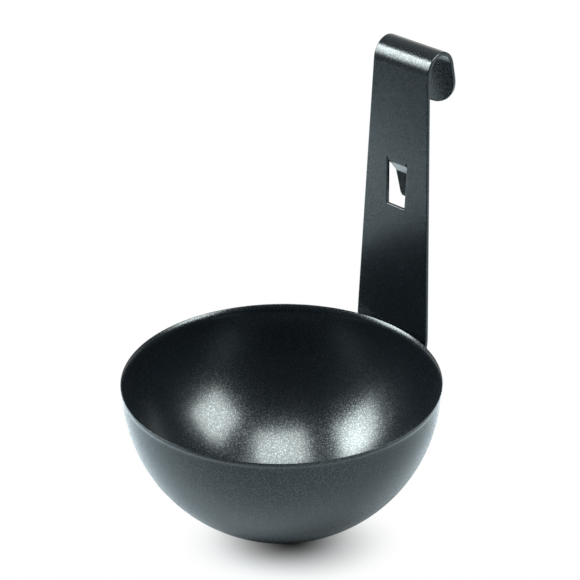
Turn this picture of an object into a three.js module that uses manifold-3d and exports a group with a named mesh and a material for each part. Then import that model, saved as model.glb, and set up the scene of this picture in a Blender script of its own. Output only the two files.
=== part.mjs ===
// Hanging egg poacher cup: a pressed steel cup, spot welded to the leg of a stamped hanger strip.
// The strip's top is bent into a hook for a pan's rim, and a tongue in its window is a lower hook.
// Millimetres, +Z up. The origin is the middle of the foot's underside, and the strip stands at +Y.
import * as THREE from 'three';
import { mergeVertices } from 'three/addons/utils/BufferGeometryUtils.js';
import Module from 'manifold-3d';

const degree = Math.PI / 180;

// Cup, a half-round wall on a flat foot, with a flared lip that is trimmed upright at the rim
const bowlRadius = 39.75;
const cupWall = 0.6;
const lipFlare = 0.3;
const lipBendRadius = 2.6;
const lipDrop = 0.84;
const footRadius = 13;
const footCornerRadius = 5;

// Hanger strip, heights and lengths measured along it from the rim
const stripThickness = 1;
const stripLean = 1.5 * degree;
const stripWidthAtRim = 24;
const stripWidthAtHook = 18.1;
const legLength = 28.5;
const legFlatLength = 1.5;
const legFormLength = 7;
const hookStart = 70.7;
const hookReach = 4.85;
const hookRise = 5.25;
const flapFlare = 13.5 * degree;
const flapLength = 13.2;

// Window cut in the strip, and the tongue bent back out of it
const windowTop = 45.78;
const windowHeight = 12.47;
const windowTopWidth = 6.5;
const windowBottomWidth = 5.8;
const tongueSideGap = 0.15;
const tongueRoot = 1.5;
const tongueBendRadius = 0.6;
const tongueSlope = 40 * degree;
const tongueSlopeLength = 3.88;
const tongueFlare = 15 * degree;
const tongueTipLength = 7.7;
const tongueCornerRadius = 1.2;

// Spot welds: a pair at the middle of the leg's round end and one below it
const weldRadius = 2.2;
const weldSpread = 9;
const weldDrop = 5;
const weldDent = 0.15;

// Clear distances between pieces that are pressed or welded together
const seatGap = 0.3;
const weldGap = 0.3;

// Length that a cut runs past each face of the strip
const cutOverrun = 1;

// Facets
const turnSides = 60;
const wallSteps = 12;
const edgeSteps = 3;
const lipSteps = 6;
const stripColumns = 10;
const tongueColumns = 6;
const bendSteps = 10;
const roundEndSteps = 7;
const roundEndSweep = 85 * degree;
const weldSides = 24;

// Places that follow from the sizes
const rimRadius = bowlRadius + lipFlare;
const bowlCentreHeight = footCornerRadius + Math.sqrt((bowlRadius - footCornerRadius) ** 2 - footRadius ** 2);
const lipStart = Math.asin(lipDrop / bowlRadius);
const lipCentre = new THREE.Vector2(Math.cos(lipStart), -Math.sin(lipStart))
  .multiplyScalar(bowlRadius + lipBendRadius)
  .add(new THREE.Vector2(0, bowlCentreHeight));
const rimHeight = lipCentre.y + (lipBendRadius + cupWall) * Math.sin(lipTilt(cupWall));
const legHalf = stripWidthAtRim / 2;
const legRoundCentre = legLength - legHalf;
const cutLength = stripThickness + 2 * cutOverrun;

const wasm = await Module();
wasm.setup();

const coating = { color: 0x2a2d2f, roughness: 0.36, metalness: 0.55 };

function namedMesh(name, geometry) {
  const mesh = new THREE.Mesh(geometry, new THREE.MeshStandardMaterial(coating));
  mesh.name = name;
  return mesh;
}

function toSolid(geometry) {
  geometry.deleteAttribute('normal');
  geometry.deleteAttribute('uv');
  const merged = mergeVertices(geometry);
  const vertProperties = merged.attributes.position.array;
  const triVerts = new Uint32Array(merged.index.array);
  return new wasm.Manifold(new wasm.Mesh({ numProp: 3, vertProperties, triVerts }));
}

function toGeometry(solid) {
  const mesh = solid.getMesh();
  const geometry = new THREE.BufferGeometry();
  geometry.setAttribute('position', new THREE.BufferAttribute(mesh.vertProperties, 3));
  geometry.setIndex(new THREE.BufferAttribute(mesh.triVerts, 1));
  geometry.computeVertexNormals();
  return geometry;
}

function arc(x, y, radius, start, end, steps) {
  return new THREE.EllipseCurve(x, y, radius, radius, start, end, end < start).getPoints(steps);
}

// How far the lip's bend leans out where it meets the trimmed edge, at a depth in from the outside
function lipTilt(depth) {
  return Math.acos((lipCentre.x - rimRadius) / (lipBendRadius + depth));
}

// One side of the wall from the foot to the trimmed edge, set in from the outside by the given depth
function wallSide(depth) {
  const cornerAngle = Math.atan2(footCornerRadius - bowlCentreHeight, footRadius);
  const lipEnd = Math.PI - lipTilt(depth);
  return [
    new THREE.Vector2(0, depth),
    ...arc(footRadius, footCornerRadius, footCornerRadius - depth, -Math.PI / 2, cornerAngle, edgeSteps),
    ...arc(0, bowlCentreHeight, bowlRadius - depth, cornerAngle, -lipStart, wallSteps).slice(1),
    ...arc(lipCentre.x, lipCentre.y, lipBendRadius + depth, Math.PI - lipStart, lipEnd, lipSteps).slice(1),
  ];
}

function cup() {
  const profile = [...wallSide(0), ...wallSide(cupWall).reverse()];
  const turned = new THREE.LatheGeometry(profile, turnSides);
  turned.rotateX(Math.PI / 2);
  return namedMesh('cup', turned);
}

// A sheet formed along stations that run down it. Each station has a half width, and places a
// point from its distance across the sheet and its depth behind the front face.
function formedSheet(stations, columns) {
  const rows = stations.length - 1;
  const sheet = new THREE.BoxGeometry(2, rows, stripThickness, columns, rows, 1);
  const corners = sheet.attributes.position;
  for (let i = 0; i < corners.count; i += 1) {
    const station = stations[Math.round(corners.getY(i) + rows / 2)];
    const depth = corners.getZ(i) + stripThickness / 2;
    const point = station.place(corners.getX(i) * station.half, depth);
    corners.setXYZ(i, point.x, point.y, point.z);
  }
  return sheet;
}

// A station of a sheet that is straight across, at a point of its front face in the YZ plane,
// heading down at an angle that turns from straight down towards +Y
function straightStation(y, z, angle, half) {
  const place = (across, depth) =>
    new THREE.Vector3(across, y + depth * Math.cos(angle), z + depth * Math.sin(angle));
  return { half, place };
}

// Lengths and half widths along a round end, which stops just short of its tip
function roundEnd(half) {
  return Array.from({ length: roundEndSteps + 1 }, (_, step) => {
    const turn = (roundEndSweep * step) / roundEndSteps;
    return { along: half * Math.sin(turn), half: half * Math.cos(turn) };
  });
}

// The strip's own frame has its origin on its front face at the rim, with the strip upright
const hanger = new THREE.Group();
hanger.position.set(0, rimRadius + seatGap, rimHeight);
hanger.rotation.x = -stripLean;
hanger.updateMatrixWorld();
const bowlCentre = hanger.worldToLocal(new THREE.Vector3(0, 0, bowlCentreHeight));
const seatRadius = bowlRadius + seatGap;

// Way out from the bowl's centre through a place on the leg, across it and down from the rim
function seatDirection(across, down) {
  const sideways = across / seatRadius;
  const below = (down + bowlCentre.z) / seatRadius;
  return new THREE.Vector3(
    Math.sin(sideways),
    Math.cos(sideways) * Math.cos(below),
    -Math.cos(sideways) * Math.sin(below),
  );
}

// The leg is flat behind the lip and then formed to the round wall
function legStation(down, half) {
  const formed = THREE.MathUtils.smoothstep(down, legFlatLength, legFlatLength + legFormLength);
  const place = (across, depth) => {
    const flat = new THREE.Vector3(across, depth, -down);
    const seated = seatDirection(across, down).multiplyScalar(seatRadius + depth).add(bowlCentre);
    return flat.lerp(seated, formed);
  };
  return { half, place };
}

// The hook's stations from the flap's tip up, over the bend and down to the upright
function hookStations() {
  const half = stripWidthAtHook / 2;
  const flapTurn = Math.atan2(hookRise * Math.sin(flapFlare), hookReach * Math.cos(flapFlare));
  const bend = new THREE.EllipseCurve(hookReach, hookStart, hookReach, hookRise, flapTurn, Math.PI);
  const flapWay = new THREE.Vector2(Math.sin(flapFlare), -Math.cos(flapFlare));
  const flapEnd = roundEnd(half).reverse().map(({ along, half: endHalf }) => {
    const spot = bend.getPoint(0).addScaledVector(flapWay, flapLength - half + along);
    return straightStation(spot.x, spot.y, flapFlare + Math.PI, endHalf);
  });
  const over = bend.getPoints(bendSteps).map((spot, step) => {
    const way = bend.getTangent(step / bendSteps);
    return straightStation(spot.x, spot.y, way.angle() + Math.PI / 2, half);
  });
  return [...flapEnd, ...over];
}

function legStations() {
  const forming = Array.from({ length: bendSteps + 1 }, (_, step) => (legFormLength * step) / bendSteps);
  return [
    legStation(0, legHalf),
    ...forming.map((length) => legStation(legFlatLength + length, legHalf)),
    ...roundEnd(legHalf).map(({ along, half }) => legStation(legRoundCentre + along, half)),
  ];
}

function windowCut() {
  const outline = new THREE.Shape();
  outline.moveTo(-windowTopWidth / 2, windowTop);
  outline.lineTo(-windowBottomWidth / 2, windowTop - windowHeight);
  outline.lineTo(windowBottomWidth / 2, windowTop - windowHeight);
  outline.lineTo(windowTopWidth / 2, windowTop);
  const cut = new THREE.ExtrudeGeometry(outline, { depth: cutLength, bevelEnabled: false });
  cut.rotateX(Math.PI / 2);
  cut.translate(0, stripThickness + cutOverrun, 0);
  return cut;
}

// The tongue runs down from inside the strip above the window, turns back and then nearly down
function tongueStations() {
  const inward = (angle) => new THREE.Vector2(Math.cos(angle), Math.sin(angle));
  const heading = (angle) => new THREE.Vector2(Math.sin(angle), -Math.cos(angle));
  const halfAt = (height) => {
    const fallen = (windowTop - height) / windowHeight;
    return THREE.MathUtils.lerp(windowTopWidth, windowBottomWidth, fallen) / 2 - tongueSideGap;
  };
  const station = (spot, angle, cornerLoss = 0) =>
    straightStation(spot.x, spot.y, angle, halfAt(spot.y) - cornerLoss);
  const rootRadius = tongueBendRadius + stripThickness;
  const rootCentre = new THREE.Vector2(rootRadius, windowTop);
  const kneeCentre = rootCentre.clone()
    .addScaledVector(inward(tongueSlope), -rootRadius - tongueBendRadius)
    .addScaledVector(heading(tongueSlope), tongueSlopeLength);
  const tipTop = kneeCentre.clone().addScaledVector(inward(tongueFlare), tongueBendRadius);
  const sweep = (start, end) =>
    Array.from({ length: edgeSteps + 1 }, (_, step) => THREE.MathUtils.lerp(start, end, step / edgeSteps));
  const rootBend = sweep(0, tongueSlope).map((angle) =>
    station(rootCentre.clone().addScaledVector(inward(angle), -rootRadius), angle));
  const knee = sweep(tongueSlope, tongueFlare).map((angle) =>
    station(kneeCentre.clone().addScaledVector(inward(angle), tongueBendRadius), angle));
  const tip = sweep(0, Math.PI / 2).map((turn) => {
    const along = tongueTipLength - tongueCornerRadius * (1 - Math.sin(turn));
    const spot = tipTop.clone().addScaledVector(heading(tongueFlare), along);
    return station(spot, tongueFlare, tongueCornerRadius * (1 - Math.cos(turn)));
  });
  const root = station(new THREE.Vector2(0, windowTop + tongueRoot), 0);
  return [root, ...rootBend, ...knee, ...tip];
}

const weldSpots = [
  { name: 'spot_weld_left', across: -weldSpread / 2, down: legRoundCentre },
  { name: 'spot_weld_right', across: weldSpread / 2, down: legRoundCentre },
  { name: 'spot_weld_lower', across: 0, down: legRoundCentre + weldDrop },
];
const turnAxis = new THREE.Vector3(0, 1, 0);

function weldTurn(spot) {
  return new THREE.Quaternion().setFromUnitVectors(turnAxis, seatDirection(spot.across, spot.down));
}

function weldPlace(spot, depth) {
  return seatDirection(spot.across, spot.down).multiplyScalar(seatRadius + depth).add(bowlCentre);
}

// The weld's fused metal fills its place in the leg, and the dent is where the tip pressed
function spotWeld(spot) {
  const height = stripThickness - weldDent;
  const nugget = namedMesh(spot.name, new THREE.CylinderGeometry(weldRadius, weldRadius, height, weldSides));
  nugget.quaternion.copy(weldTurn(spot));
  nugget.position.copy(weldPlace(spot, height / 2));
  return nugget;
}

function weldPocket(spot) {
  const radius = weldRadius + weldGap;
  const pocket = new THREE.CylinderGeometry(radius, radius, cutLength, weldSides);
  pocket.applyQuaternion(weldTurn(spot));
  const middle = weldPlace(spot, stripThickness / 2);
  pocket.translate(middle.x, middle.y, middle.z);
  return pocket;
}

function hangerStrip() {
  const blank = toSolid(formedSheet([...hookStations(), ...legStations()], stripColumns));
  const withTongue = blank
    .subtract(toSolid(windowCut()))
    .add(toSolid(formedSheet(tongueStations(), tongueColumns)));
  const drilled = weldSpots.reduce((strip, spot) => strip.subtract(toSolid(weldPocket(spot))), withTongue);
  return namedMesh('hanger_strip', toGeometry(drilled));
}

hanger.add(hangerStrip(), ...weldSpots.map(spotWeld));

const poacherCup = new THREE.Group();
poacherCup.add(cup(), hanger);

export default poacherCup;
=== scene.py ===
import math

import bmesh
import bpy
from mathutils import Matrix, Vector


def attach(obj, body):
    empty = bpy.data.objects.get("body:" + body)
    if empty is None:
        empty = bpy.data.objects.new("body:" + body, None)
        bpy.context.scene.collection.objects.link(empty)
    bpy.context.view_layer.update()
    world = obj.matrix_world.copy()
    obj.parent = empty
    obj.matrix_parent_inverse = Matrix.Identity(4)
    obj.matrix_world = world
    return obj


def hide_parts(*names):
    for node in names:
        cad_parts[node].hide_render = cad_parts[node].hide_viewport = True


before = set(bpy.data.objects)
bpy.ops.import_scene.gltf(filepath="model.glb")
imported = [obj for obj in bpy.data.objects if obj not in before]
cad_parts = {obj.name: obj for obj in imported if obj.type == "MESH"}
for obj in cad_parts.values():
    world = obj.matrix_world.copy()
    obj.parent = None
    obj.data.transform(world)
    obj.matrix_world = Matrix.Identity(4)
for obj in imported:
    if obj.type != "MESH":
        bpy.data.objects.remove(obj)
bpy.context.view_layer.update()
mm = 0.001
flatOn = 0.99       # a face whose normal goes this far along a direction faces that way
print("frame loaded:", ", ".join(sorted(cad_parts)))


# small helpers for working by hand in edit mode

def clearSelection():
    if bpy.context.mode != "OBJECT":
        bpy.ops.object.mode_set(mode="OBJECT")
    bpy.ops.object.select_all(action="DESELECT")


def pick(piece, kind, wanted):      # kind is verts, edges or faces
    modes = {"verts": "VERT", "edges": "EDGE", "faces": "FACE"}
    bpy.ops.mesh.select_mode(type=modes[kind])
    bpy.ops.mesh.select_all(action="DESELECT")
    work = bmesh.from_edit_mesh(piece.data)
    for part in getattr(work, kind):
        if wanted(part):
            part.select_set(True)
    work.select_flush_mode()
    bmesh.update_edit_mesh(piece.data)


def middle(part):
    return sum((vert.co for vert in part.verts), Vector()) / len(part.verts)


def extrudeBy(step):
    bpy.ops.mesh.extrude_region_move(TRANSFORM_OT_translate={"value": step})


def finishWith(piece, kind, **settings):    # adds a modifier and applies it
    change = piece.modifiers.new(kind.lower(), kind)
    for key, value in settings.items():
        setattr(change, key, value)
    bpy.context.view_layer.objects.active = piece
    bpy.ops.object.modifier_apply(modifier=change.name)


def arcPoints(centre, radius, start, end, steps):
    turns = [start + (end - start) * step / steps for step in range(steps + 1)]
    return [Vector((centre[0] + radius * math.cos(t), centre[1] + radius * math.sin(t))) for t in turns]


def smoothStep(low, high, value):
    part = min(max((value - low) / (high - low), 0), 1)
    return part * part * (3 - 2 * part)


# the pressed cup: rings drawn up the outside from the foot, over the lip and down the inside

cupSizes = {
    "rimRadius": 40.05 * mm,
    "bowlRadius": 39.75 * mm,
    "wall": 0.6 * mm,
    "lipBend": 2.6 * mm,
    "lipDrop": 0.84 * mm,       # the lip's bend starts this far under the middle of the round
    "lipEdge": 0.3 * mm,
    "lipEdgeSegments": 3,
    "footRadius": 13.0 * mm,
    "footCorner": 5.0 * mm,
    "footMiddle": 5.0 * mm,     # the foot's innermost ring, which one face closes
    "sharp": math.radians(60),
    "near": 0.1 * mm,
    "sides": 128,
    "cornerRings": 6,
    "wallRings": 26,
    "lipRings": 10,
    "levels": 1,
}
bowlCentreHeight = cupSizes["footCorner"] + math.sqrt(
    (cupSizes["bowlRadius"] - cupSizes["footCorner"]) ** 2 - cupSizes["footRadius"] ** 2)
lipStart = math.asin(cupSizes["lipDrop"] / cupSizes["bowlRadius"])
lipReach = cupSizes["bowlRadius"] + cupSizes["lipBend"]
lipCentre = Vector((lipReach * math.cos(lipStart), bowlCentreHeight - lipReach * math.sin(lipStart)))


def lipTilt(depth):     # how far the bend leans out where it meets the trimmed edge
    return math.acos((lipCentre.x - cupSizes["rimRadius"]) / (cupSizes["lipBend"] + depth))


def wallSide(depth):        # radius and height of each ring from the foot to the trimmed edge
    s = cupSizes
    cornerTurn = math.atan2(s["footCorner"] - bowlCentreHeight, s["footRadius"])
    rings = [Vector((s["footMiddle"], depth))]
    rings += arcPoints((s["footRadius"], s["footCorner"]), s["footCorner"] - depth,
                       -math.pi / 2, cornerTurn, s["cornerRings"])
    rings += arcPoints((0, bowlCentreHeight), s["bowlRadius"] - depth, cornerTurn, -lipStart,
                       s["wallRings"])[1:]
    rings += arcPoints(lipCentre, s["lipBend"] + depth, math.pi - lipStart, math.pi - lipTilt(depth),
                       s["lipRings"])[1:]
    return rings


rimHeight = wallSide(cupSizes["wall"])[-1].y


def makeCup():
    s = cupSizes
    rings = wallSide(0) + wallSide(s["wall"])[::-1]
    clearSelection()
    bpy.ops.mesh.primitive_circle_add(vertices=s["sides"], radius=rings[0].x, fill_type="NOTHING")
    cup = bpy.context.object
    cup.name = "pressed_cup"
    bpy.ops.object.mode_set(mode="EDIT")
    bpy.ops.mesh.select_all(action="SELECT")
    for last, ring in zip(rings, rings[1:]):
        extrudeBy((0, 0, ring.y - last.y))
        spread = ring.x / last.x
        bpy.ops.transform.resize(value=(spread, spread, 1), center_override=(0, 0, 0))
    for height in (0, s["wall"]):       # close the foot outside and inside
        pick(cup, "edges", lambda edge: all(vert.co.xy.length < s["footMiddle"] + s["near"]
                                            and abs(vert.co.z - height) < s["near"] for vert in edge.verts))
        bpy.ops.mesh.edge_face_add()
    bpy.ops.mesh.select_all(action="SELECT")
    bpy.ops.mesh.normals_make_consistent(inside=False)
    bpy.ops.object.mode_set(mode="OBJECT")
    finishWith(cup, "BEVEL", width=s["lipEdge"], segments=s["lipEdgeSegments"],
               limit_method="ANGLE", angle_limit=s["sharp"])
    finishWith(cup, "SUBSURF", levels=s["levels"], render_levels=s["levels"])
    bpy.ops.object.shade_smooth()
    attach(cup, "root")
    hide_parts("cup")
    print("cup:", len(cup.data.polygons), "faces")
    return cup


# the hanger strip: one sheet drawn along its path, its leg dished to the bowl, then given its thickness

stripSizes = {
    "thickness": 1.0 * mm,
    "lean": math.radians(1.5),
    "widthAtRim": 24.0 * mm,
    "widthAtHook": 18.1 * mm,
    "seatGap": 0.3 * mm,
    "legLength": 28.5 * mm,
    "legFlatLength": 1.5 * mm,
    "legFormLength": 7.0 * mm,
    "legColumns": 11,
    "legRows": 10,
    "hookStart": 70.7 * mm,
    "hookReach": 4.85 * mm,
    "hookRise": 5.25 * mm,
    "hookRows": 28,
    "flapFlare": math.radians(13.5),
    "flapLength": 13.2 * mm,
    "roundRows": 14,
    "roundSweep": math.radians(88),
    "edge": 0.25 * mm,
    "edgeSegments": 3,
    "sharp": math.radians(40),
    "near": 0.05 * mm,
    "level": 0.01 * mm,         # two corners of a cross edge differ less than this in height
    "onCut": 0.001 * mm,
    "rodLength": 4.0 * mm,      # of the rods that cut the weld pockets
    "flatWeight": 80,
}
windowSizes = {
    "top": 45.78 * mm,
    "height": 12.47 * mm,
    "topWidth": 6.5 * mm,
    "bottomWidth": 5.8 * mm,
}
tongueSizes = {
    "sideGap": 0.15 * mm,
    "bendRadius": 0.6 * mm,
    "slope": math.radians(40),
    "slopeLength": 3.88 * mm,
    "flare": math.radians(15),
    "tipLength": 7.7 * mm,
    "corner": 1.2 * mm,
    "bendRows": 6,
    "cornerRows": 6,
}
weldSizes = {
    "radius": 2.2 * mm,
    "gap": 0.08 * mm,
    "dent": 0.15 * mm,
    "spread": 9.0 * mm,
    "drop": 5.0 * mm,
    "sides": 48,
    "ledge": 0.25 * mm,         # flat ring round the pressed-in face
    "slope": 0.35 * mm,
    "slopeDepth": 0.12 * mm,
    "dish": 0.8 * mm,
    "dishDepth": 0.06 * mm,
    "edge": 0.08 * mm,
    "edgeSegments": 2,
    "sharp": math.radians(40),
    "smooth": math.radians(35),
}
legHalf = stripSizes["widthAtRim"] / 2
legRound = stripSizes["legLength"] - legHalf       # down from the rim to the middle of the leg's round end
seatRadius = cupSizes["bowlRadius"] + stripSizes["seatGap"]

# the strip is drawn upright with its front face at y = 0 and the rim at z = 0, and leaned back at the end
stripPlace = Matrix.Translation((0, cupSizes["rimRadius"] + stripSizes["seatGap"], rimHeight)) \
    @ Matrix.Rotation(-stripSizes["lean"], 4, "X")
bowlInStrip = stripPlace.inverted() @ Vector((0, 0, bowlCentreHeight))


def roundEnd(half):     # lengths along a full-round end, with its half widths
    rows = stripSizes["roundRows"]
    turns = [stripSizes["roundSweep"] * row / rows for row in range(rows + 1)]
    return [(half * math.sin(turn), half * math.cos(turn)) for turn in turns]


def hookPath():     # y, z and half width from the end of the upright over the bend to the flap's tip
    s = stripSizes
    half = s["widthAtHook"] / 2
    lastTurn = math.atan2(s["hookRise"] * math.sin(s["flapFlare"]),
                          s["hookReach"] * math.cos(s["flapFlare"]))
    path = []
    for row in range(1, s["hookRows"] + 1):
        turn = math.pi + (lastTurn - math.pi) * row / s["hookRows"]
        path.append((s["hookReach"] * (1 + math.cos(turn)),
                     s["hookStart"] + s["hookRise"] * math.sin(turn), half))
    bendEnd = path[-1]
    for along, endHalf in roundEnd(half):
        down = s["flapLength"] - half + along
        path.append((bendEnd[0] + down * math.sin(s["flapFlare"]),
                     bendEnd[1] - down * math.cos(s["flapFlare"]), endHalf))
    return path


def legPath():      # rows of the flat leg, spaced so that they lie right once it is dished
    s = stripSizes
    flat = s["legFlatLength"]
    downs = [(flat + (legRound - flat) * row / s["legRows"], legHalf) for row in range(s["legRows"] + 1)]
    downs += [(legRound + along, half) for along, half in roundEnd(legHalf)[1:]]
    path = []
    for down, half in downs:
        below = (down + bowlInStrip.z) / seatRadius
        spread = -bowlInStrip.y * math.tan(half / seatRadius) / math.cos(below)
        dished = smoothStep(flat, flat + s["legFormLength"], down)
        path.append((0, bowlInStrip.z + bowlInStrip.y * math.tan(below), half + (spread - half) * dished))
    return path


def tonguePath():
    s = tongueSizes
    w = windowSizes

    def towards(turn):
        return Vector((math.cos(turn), math.sin(turn)))

    def heading(turn):
        return Vector((math.sin(turn), -math.cos(turn)))

    def halfAt(z):
        fallen = (w["top"] - z) / w["height"]
        return (w["topWidth"] + (w["bottomWidth"] - w["topWidth"]) * fallen) / 2 - s["sideGap"]

    rootRadius = s["bendRadius"] + stripSizes["thickness"]
    rootCentre = Vector((rootRadius, w["top"]))
    kneeCentre = rootCentre - towards(s["slope"]) * (rootRadius + s["bendRadius"]) \
        + heading(s["slope"]) * s["slopeLength"]
    path = []
    for row in range(1, s["bendRows"] + 1):
        spot = rootCentre - towards(s["slope"] * row / s["bendRows"]) * rootRadius
        path.append((spot.x, spot.y, halfAt(spot.y)))
    for row in range(s["bendRows"] + 1):
        turn = s["slope"] + (s["flare"] - s["slope"]) * row / s["bendRows"]
        spot = kneeCentre + towards(turn) * s["bendRadius"]
        path.append((spot.x, spot.y, halfAt(spot.y)))
    tipTop = kneeCentre + towards(s["flare"]) * s["bendRadius"]
    for row in range(s["cornerRows"] + 1):
        turn = math.pi / 2 * row / s["cornerRows"]
        spot = tipTop + heading(s["flare"]) * (s["tipLength"] - s["corner"] * (1 - math.sin(turn)))
        path.append((spot.x, spot.y, halfAt(spot.y) - s["corner"] * (1 - math.cos(turn))))
    return path


def facesFront(face):
    return face.normal.y < -flatOn


def drawSheet(start, path):     # extrudes the selected edge along y, z and half width
    y, z, half = start
    for nextY, nextZ, nextHalf in path:
        extrudeBy((0, nextY - y, nextZ - z))
        bpy.ops.transform.resize(value=(nextHalf / half, 1, 1), center_override=(0, 0, 0))
        y, z, half = nextY, nextZ, nextHalf


def weldDirection(across, down):    # way out of the bowl's middle through a place on the leg
    side = across / seatRadius
    below = (down + bowlInStrip.z) / seatRadius
    return Vector((math.sin(side), math.cos(side) * math.cos(below), -math.cos(side) * math.sin(below)))


def weldPlaces():
    w = weldSizes
    return {
        "spot_weld_left": weldDirection(-w["spread"] / 2, legRound),
        "spot_weld_right": weldDirection(w["spread"] / 2, legRound),
        "spot_weld_lower": weldDirection(0, legRound + w["drop"]),
    }


def makeStrip():
    s = stripSizes
    w = windowSizes
    near = s["near"]
    clearSelection()
    bpy.ops.mesh.primitive_plane_add(size=1, location=(0, 0, s["hookStart"] / 2),
                                     rotation=(math.pi / 2, 0, 0))
    strip = bpy.context.object
    strip.name = "stamped_strip"
    strip.scale = (s["widthAtRim"], s["hookStart"], 1)
    bpy.ops.object.transform_apply(location=True, rotation=True, scale=True)
    bpy.ops.object.mode_set(mode="EDIT")

    # taper the upright, then draw the hook and the leg from its ends
    pick(strip, "verts", lambda vert: vert.co.z > s["hookStart"] - near)
    bpy.ops.transform.resize(value=(s["widthAtHook"] / s["widthAtRim"], 1, 1), center_override=(0, 0, 0))
    drawSheet((0, s["hookStart"], s["widthAtHook"] / 2), hookPath())
    pick(strip, "verts", lambda vert: abs(vert.co.z) < near)
    drawSheet((0, 0, legHalf), legPath())

    # window: cut the upright's face round it, take the middle out and draw the tongue from its top
    bottom = w["top"] - w["height"]
    for height in (w["top"], bottom):
        pick(strip, "faces", lambda face: facesFront(face) and middle(face).z > near)
        bpy.ops.mesh.bisect(plane_co=(0, 0, height), plane_no=(0, 0, 1), threshold=s["onCut"])
    lean = (w["topWidth"] - w["bottomWidth"]) / 2
    for side in (-1, 1):
        pick(strip, "faces", lambda face: facesFront(face) and bottom < middle(face).z < w["top"])
        bpy.ops.mesh.bisect(plane_co=(side * w["topWidth"] / 2, 0, w["top"]),
                            plane_no=Vector((w["height"], 0, -side * lean)).normalized(),
                            threshold=s["onCut"])
    pick(strip, "faces", lambda face: facesFront(face) and bottom < middle(face).z < w["top"]
         and abs(middle(face).x) < near)
    bpy.ops.mesh.delete(type="ONLY_FACE")
    pick(strip, "edges", lambda edge: abs(middle(edge).z - w["top"]) < near and abs(middle(edge).x) < near)
    drawSheet((0, w["top"], w["topWidth"] / 2), tonguePath())

    # dish the leg: split it across, then cast it on the round of the bowl
    pick(strip, "edges", lambda edge: max(vert.co.z for vert in edge.verts) < -near
         and abs(edge.verts[0].co.z - edge.verts[1].co.z) < s["level"])
    bpy.ops.mesh.subdivide(number_cuts=s["legColumns"] - 1)
    bpy.ops.mesh.select_all(action="SELECT")
    bpy.ops.mesh.normals_make_consistent(inside=False)
    bpy.ops.object.mode_set(mode="OBJECT")
    group = strip.vertex_groups.new(name="dished")
    flat = s["legFlatLength"]
    for vert in strip.data.vertices:
        if vert.co.z < -near:
            below = math.atan2(bowlInStrip.z - vert.co.z, -bowlInStrip.y)
            down = below * seatRadius - bowlInStrip.z
            group.add([vert.index], smoothStep(flat, flat + s["legFormLength"], down), "REPLACE")
    bpy.context.scene.cursor.location = bowlInStrip
    bpy.ops.object.origin_set(type="ORIGIN_CURSOR")
    bpy.context.scene.cursor.location = (0, 0, 0)
    finishWith(strip, "CAST", cast_type="SPHERE", factor=1, radius=0, size=seatRadius,
               use_radius_as_size=False, vertex_group="dished")
    front = sum(face.normal.y * face.area for face in strip.data.polygons)
    finishWith(strip, "SOLIDIFY", thickness=s["thickness"], offset=-1 if front < 0 else 1,
               use_even_offset=True, use_quality_normals=True)
    finishWith(strip, "BEVEL", width=s["edge"], segments=s["edgeSegments"], limit_method="ANGLE",
               angle_limit=s["sharp"], use_clamp_overlap=False)

    # pockets for the welds, cut with short rods
    for way in weldPlaces().values():
        bpy.ops.mesh.primitive_cylinder_add(
            vertices=weldSizes["sides"], radius=weldSizes["radius"] + weldSizes["gap"],
            depth=s["rodLength"], location=bowlInStrip + way * (seatRadius + s["thickness"] / 2),
            rotation=way.to_track_quat("Z", "Y").to_euler())
        rod = bpy.context.object
        finishWith(strip, "BOOLEAN", operation="DIFFERENCE", solver="EXACT", object=rod)
        bpy.data.objects.remove(rod)

    clearSelection()
    strip.select_set(True)
    bpy.context.view_layer.objects.active = strip
    strip.location = (0, 0, bowlCentreHeight)
    strip.rotation_euler = (-s["lean"], 0, 0)
    bpy.ops.object.transform_apply(location=True, rotation=True, scale=True)
    bpy.ops.object.shade_smooth()
    finishWith(strip, "WEIGHTED_NORMAL", mode="FACE_AREA", weight=s["flatWeight"], keep_sharp=True)
    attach(strip, "root")
    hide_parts("hanger_strip")
    print("strip:", len(strip.data.polygons), "faces")
    return strip


# spot welds: one nugget with a pressed-in face, copied to each pocket

def makeWelds():
    w = weldSizes
    height = stripSizes["thickness"] - w["dent"]
    clearSelection()
    bpy.ops.mesh.primitive_cylinder_add(vertices=w["sides"], radius=w["radius"], depth=height)
    nugget = bpy.context.object
    bpy.ops.object.mode_set(mode="EDIT")
    pick(nugget, "faces", lambda face: face.normal.z > flatOn)
    bpy.ops.mesh.inset(thickness=w["ledge"])
    bpy.ops.mesh.inset(thickness=w["slope"], depth=-w["slopeDepth"])
    bpy.ops.mesh.inset(thickness=w["dish"], depth=-w["dishDepth"])
    bpy.ops.object.mode_set(mode="OBJECT")
    finishWith(nugget, "BEVEL", width=w["edge"], segments=w["edgeSegments"],
               limit_method="ANGLE", angle_limit=w["sharp"])
    welds = []
    for name, way in weldPlaces().items():
        weld = nugget.copy()
        weld.data = nugget.data.copy()
        weld.name = name.replace("spot_weld", "weld_mark")
        bpy.context.scene.collection.objects.link(weld)
        turn = way.to_track_quat("Z", "Y").to_matrix().to_4x4()
        spot = bowlInStrip + way * (seatRadius + height / 2)
        weld.matrix_world = stripPlace @ Matrix.Translation(spot) @ turn
        clearSelection()
        weld.select_set(True)
        bpy.context.view_layer.objects.active = weld
        bpy.ops.object.transform_apply(location=True, rotation=True, scale=True)
        bpy.ops.object.shade_smooth_by_angle(angle=w["smooth"])
        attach(weld, "root")
        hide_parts(name)
        welds.append(weld)
    bpy.data.objects.remove(nugget)
    print("welds:", len(welds))
    return welds


# shader maths: a socket that takes plain Python operators

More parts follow.
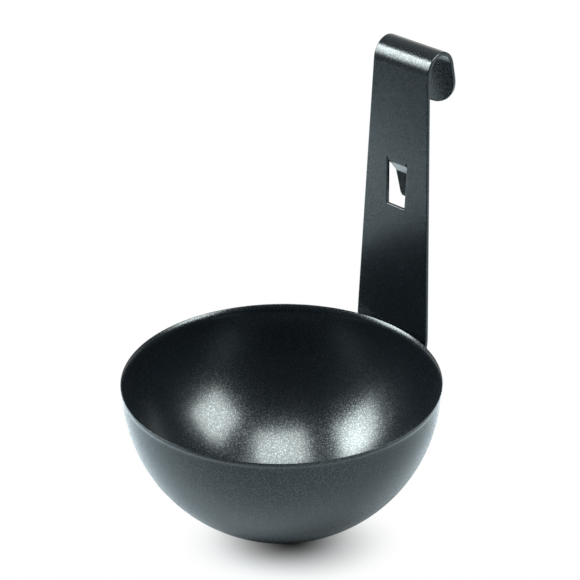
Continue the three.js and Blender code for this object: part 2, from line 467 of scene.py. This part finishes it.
class Value:
    def __init__(self, tree, socket):
        self.tree = tree
        self.socket = socket

    def maths(self, operation, first, second):
        return addNode(self.tree, "ShaderNodeMath", {"operation": operation}, {0: first, 1: second})

    def __add__(self, other):
        return self.maths("ADD", self, other)

    def __radd__(self, other):
        return self.maths("ADD", other, self)

    def __sub__(self, other):
        return self.maths("SUBTRACT", self, other)

    def __rsub__(self, other):
        return self.maths("SUBTRACT", other, self)

    def __mul__(self, other):
        return self.maths("MULTIPLY", self, other)

    def __rmul__(self, other):
        return self.maths("MULTIPLY", other, self)

    def out(self, name):        # another output of the same node
        return Value(self.tree, self.socket.node.outputs[name])


def addNode(tree, kind, settings=None, inputs=None, output=0):
    node = tree.nodes.new(kind)
    for key, value in (settings or {}).items():
        setattr(node, key, value)
    for key, value in (inputs or {}).items():
        if isinstance(value, Value):
            tree.links.new(value.socket, node.inputs[key])
        else:
            node.inputs[key].default_value = value
    return Value(tree, node.outputs[output]) if node.outputs else None


def emptyTree(owner):
    owner.use_nodes = True
    owner.node_tree.nodes.clear()
    return owner.node_tree


coatingLook = {
    "black": (0.0028, 0.0042, 0.0058, 1),
    "flake": (0.048, 0.058, 0.063, 1),
    "flakesPerMetre": 6000,
    "flakeShare": 0.24,         # of the cells
    "flakeFull": 0.7,           # part of that share that shows in full, the rest is fainter
    "flakeTilt": 0.015,
    "clumpsPerMetre": 2200,
    "clump": 1.6,
    "roughness": 0.25,
    "flakeRoughness": 0.04,     # over the black's
    "smudgesPerMetre": 60,
    "smudge": 0.02,
    "specular": 0.25,
    "specularTint": (0.82, 0.95, 1.0, 1),
    "coatRoughness": 0.2,
    "coatIor": 1.22,
}


def makeCoating():
    look = coatingLook
    coating = bpy.data.materials.new("black_coating_with_flake")
    tree = emptyTree(coating)
    place = addNode(tree, "ShaderNodeTexCoord", output="Object")
    cell = addNode(tree, "ShaderNodeTexVoronoi", None,
                   {"Vector": place, "Scale": look["flakesPerMetre"]}, "Color")
    chance = addNode(tree, "ShaderNodeSeparateColor", None, {0: cell})
    clump = addNode(tree, "ShaderNodeTexNoise", None,
                    {"Vector": place, "Scale": look["clumpsPerMetre"], "Detail": 1})
    shown = addNode(tree, "ShaderNodeMapRange", {"interpolation_type": "SMOOTHSTEP"},
                    {0: chance + look["clump"] * (clump - 0.5), 1: 1 - look["flakeShare"],
                     2: 1 - look["flakeFull"] * look["flakeShare"]})

    # each flake is a small facet that leans its own way
    lean = addNode(tree, "ShaderNodeVectorMath", {"operation": "SUBTRACT"}, {0: cell, 1: (0.5, 0.5, 0.5)})
    inCell = addNode(tree, "ShaderNodeVectorMath", {"operation": "SUBTRACT"},
                     {0: place, 1: cell.out("Position")})
    facet = addNode(tree, "ShaderNodeVectorMath", {"operation": "DOT_PRODUCT"},
                    {0: lean, 1: inCell}, "Value")
    bump = addNode(tree, "ShaderNodeBump", None,
                   {"Strength": 1, "Distance": 1, "Height": facet * look["flakeTilt"]})
    smudge = addNode(tree, "ShaderNodeTexNoise", None,
                     {"Vector": place, "Scale": look["smudgesPerMetre"], "Detail": 3})
    colour = addNode(tree, "ShaderNodeMix", {"data_type": "RGBA"},
                     {0: shown, 6: look["black"], 7: look["flake"]}, 2)
    roughness = look["roughness"] + look["flakeRoughness"] * shown + 2 * look["smudge"] * (smudge - 0.5)
    shader = addNode(tree, "ShaderNodeBsdfPrincipled", None, {
        "Base Color": colour,
        "Metallic": shown,
        "Roughness": roughness,
        "Normal": bump,
        "Specular IOR Level": look["specular"],
        "Specular Tint": look["specularTint"],
        "Coat Weight": 1,
        "Coat Roughness": look["coatRoughness"],
        "Coat IOR": look["coatIor"],
    })
    addNode(tree, "ShaderNodeOutputMaterial", None, {"Surface": shader})
    return coating


# floor: the camera sees white and the shadow round the foot, deepened there with painted shadow; the
# coating mirrors a matt table, painted lighter out to the front left as painted light
# world: a bright backdrop behind the cup and a dark room round it

studioLook = {
    "floorSize": 12.0,
    "floorPaint": (0.32, 0.36, 0.393, 1),
    # painted light: the table's paint turns lighter out to the front left, standing in for the lamp light
    # that reaches less there
    "farPaintedLight": (0.64, 0.71, 0.77, 1),          # out to the front left, where the lamps reach less
    "farWay": (-0.793, -0.608, 0),
    "farFrom": 120 * mm,
    "farTo": 215 * mm,
    # painted shadow: dark table paint under the bowl, laid over the real shadow there
    "shadowPaint": (0.024, 0.032, 0.034, 1),    # under the bowl, where little light gets in
    "shadowMiddle": (11.8 * mm, -8.8 * mm, 0),
    "shadowTurn": (0, 0, math.radians(44.4)),
    "shadowShape": (1, 0.76, 1),
    "whiteFrom": 29.5 * mm,
    "tableWay": (0.174, -0.985, 0),     # to the table's near edge, which the coating mirrors
    "tableTo": 94 * mm,
    "tableEnd": 108 * mm,
    "white": (1, 1, 1, 1),
    "dim": (0.22, 0.26, 0.27, 1),       # the room's floor in front of the table
    "dark": (0.02, 0.021, 0.022, 1),
    "backdrop": (1.4, 1.4, 1.34, 1),
    "backdropWay": (-0.7, 0.714, 0),
    "backdropFrom": 0.05,
    "backdropFull": 0.7,
    "backdropTop": -0.15,       # it fades from here up, sines of the height over the horizon
    "backdropEnd": 0.4,
    "backdropFade": 0.7,
}


def makeFloor():
    look = studioLook
    clearSelection()
    bpy.ops.mesh.primitive_plane_add(size=look["floorSize"], location=(0, 0, 0))
    floor = bpy.context.object
    floor.name = "floor"
    paint = bpy.data.materials.new("white_floor")
    tree = emptyTree(paint)
    place = addNode(tree, "ShaderNodeTexCoord", output="Object")
    inShadow = addNode(tree, "ShaderNodeMapping", {"vector_type": "TEXTURE"},
                       {"Vector": place, "Location": look["shadowMiddle"],
                        "Rotation": look["shadowTurn"], "Scale": look["shadowShape"]})
    fromShadow = addNode(tree, "ShaderNodeVectorMath", {"operation": "LENGTH"}, {0: inShadow}, "Value")
    clear = addNode(tree, "ShaderNodeMapRange", {"interpolation_type": "SMOOTHSTEP"},
                    {0: fromShadow, 1: 0, 2: look["whiteFrom"]})
    inFront = addNode(tree, "ShaderNodeVectorMath", {"operation": "DOT_PRODUCT"},
                      {0: place, 1: look["tableWay"]}, "Value")
    offTable = addNode(tree, "ShaderNodeMapRange", {"interpolation_type": "SMOOTHSTEP"},
                       {0: inFront, 1: look["tableTo"], 2: look["tableEnd"]})
    ray = addNode(tree, "ShaderNodeLightPath", output="Is Camera Ray")
    mirrored = ray.out("Is Glossy Ray") + ray.out("Is Transmission Ray")
    toLeft = addNode(tree, "ShaderNodeVectorMath", {"operation": "DOT_PRODUCT"},
                     {0: place, 1: look["farWay"]}, "Value")
    # painted light: mask that lightens the table's paint out to the front left
    far = addNode(tree, "ShaderNodeMapRange", {"interpolation_type": "SMOOTHSTEP"},
                  {0: toLeft, 1: look["farFrom"], 2: look["farTo"]})
    tablePaintWithPaintedLight = addNode(tree, "ShaderNodeMix", {"data_type": "RGBA"},
                         {0: far, 6: look["floorPaint"], 7: look["farPaintedLight"]}, 2)
    # painted shadow: the table's paint turns dark round the foot, on the same oval where the camera's white
    # gives way
    paintWithPaintedShadow = addNode(tree, "ShaderNodeMix", {"data_type": "RGBA"},
                        {0: clear, 6: look["shadowPaint"], 7: tablePaintWithPaintedLight}, 2)
    matt = addNode(tree, "ShaderNodeBsdfDiffuse", None, {"Color": paintWithPaintedShadow})
    glow = addNode(tree, "ShaderNodeEmission", None, {"Color": look["white"], "Strength": 1})
    gloom = addNode(tree, "ShaderNodeEmission", None, {"Color": look["dim"], "Strength": 1})
    table = addNode(tree, "ShaderNodeMixShader", None, {0: mirrored * offTable, 1: matt, 2: gloom})
    mixed = addNode(tree, "ShaderNodeMixShader", None, {0: clear * ray, 1: table, 2: glow})
    addNode(tree, "ShaderNodeOutputMaterial", None, {"Surface": mixed})
    floor.data.materials.append(paint)


def makeWorld():
    look = studioLook
    world = bpy.data.worlds.new("studio")
    bpy.context.scene.world = world
    tree = emptyTree(world)
    way = addNode(tree, "ShaderNodeTexCoord", output="Generated")
    height = addNode(tree, "ShaderNodeSeparateXYZ", None, {0: way}, "Z")
    towards = addNode(tree, "ShaderNodeVectorMath", {"operation": "DOT_PRODUCT"},
                      {0: way, 1: look["backdropWay"]}, "Value")
    behind = addNode(tree, "ShaderNodeMapRange", {"interpolation_type": "SMOOTHSTEP"},
                     {0: towards, 1: look["backdropFrom"], 2: look["backdropFull"]})
    above = addNode(tree, "ShaderNodeMapRange", {"interpolation_type": "SMOOTHSTEP"},
                    {0: height, 1: look["backdropTop"], 2: look["backdropEnd"]})
    lit = behind * (1 - look["backdropFade"] * above)
    colour = addNode(tree, "ShaderNodeMix", {"data_type": "RGBA"},
                     {0: lit, 6: look["dark"], 7: look["backdrop"]}, 2)
    sky = addNode(tree, "ShaderNodeBackground", None, {"Color": colour, "Strength": 1})
    addNode(tree, "ShaderNodeOutputWorld", None, {"Surface": sky})


# softboxes: turn from +X, height and spread in degrees, lengths and the spot it faces in metres
# level is the brightness of the lit face

lamps = {
    "overhead": {"turn": -40, "height": 82.5, "away": 0.9, "size": (0.56, 0.46), "level": 19.6,
                 "spread": 180, "faces": (0, 0, 0.02), "tint": (0.97, 0.985, 0.94)},
    "right": {"turn": 27, "height": 36.5, "away": 0.9, "size": (0.48, 0.43), "level": 12, "spread": 140,
              "faces": (0, 0, 0.02), "tint": (0.97, 0.985, 0.94)},
    "left": {"turn": -138.8, "height": 31, "away": 0.53, "size": (0.28, 0.36), "level": 5.9, "spread": 80,
             "faces": (-0.1, -0.088, 0), "tint": (0.97, 1, 0.97)},
}


def makeLamps():
    aim = Vector((0, 0, rimHeight / 2))
    for name, lamp in lamps.items():
        turn = math.radians(lamp["turn"])
        height = math.radians(lamp["height"])
        way = Vector((math.cos(turn) * math.cos(height), math.sin(turn) * math.cos(height),
                      math.sin(height)))
        light = bpy.data.lights.new(name, "AREA")
        light.shape = "RECTANGLE"
        light.size, light.size_y = lamp["size"]
        light.energy = lamp["level"] * math.pi * light.size * light.size_y
        light.spread = math.radians(lamp["spread"])
        light.color = lamp["tint"]
        box = bpy.data.objects.new(name + "_softbox", light)
        box.location = aim + way * lamp["away"]
        faceAway = box.location - Vector(lamp["faces"])
        box.rotation_euler = faceAway.to_track_quat("Z", "Y").to_euler()
        bpy.context.scene.collection.objects.link(box)


cameraFit = {       # fitted to the rim's ellipse and the strip's edges
    "lens": 147.4,
    "sensor": 36,
    "away": 579.1 * mm,
    "turn": math.radians(44.756),
    "height": math.radians(27.601),
    "roll": math.radians(-0.332),
    "aimRight": 2.238 * mm,
    "aimUp": 24.841 * mm,       # over the rim
    "nearest": 10 * mm,
}


def makeCamera():
    fit = cameraFit
    across = Vector((math.cos(fit["turn"]), math.sin(fit["turn"]), 0))
    back = Vector((math.sin(fit["turn"]) * math.cos(fit["height"]),
                   -math.cos(fit["turn"]) * math.cos(fit["height"]), math.sin(fit["height"])))
    up = back.cross(across)
    right = across * math.cos(fit["roll"]) + up * math.sin(fit["roll"])
    top = back.cross(right)
    aim = across * fit["aimRight"] + Vector((0, 0, rimHeight + fit["aimUp"]))
    lens = bpy.data.cameras.new("photo_camera")
    lens.lens = fit["lens"]
    lens.sensor_width = fit["sensor"]
    lens.clip_start = fit["nearest"]
    camera = bpy.data.objects.new("photo_camera", lens)
    turned = Matrix((right, top, back)).transposed().to_4x4()
    camera.matrix_world = Matrix.Translation(aim + back * fit["away"]) @ turned
    bpy.context.scene.collection.objects.link(camera)
    bpy.context.scene.camera = camera


pieces = [makeCup(), makeStrip()] + makeWelds()
coating = makeCoating()
for piece in pieces:
    piece.data.materials.clear()
    piece.data.materials.append(coating)
print("coating on", len(pieces), "pieces")

makeFloor()
makeWorld()
makeLamps()
makeCamera()
bpy.context.scene.view_settings.view_transform = "Standard"
print("studio set")
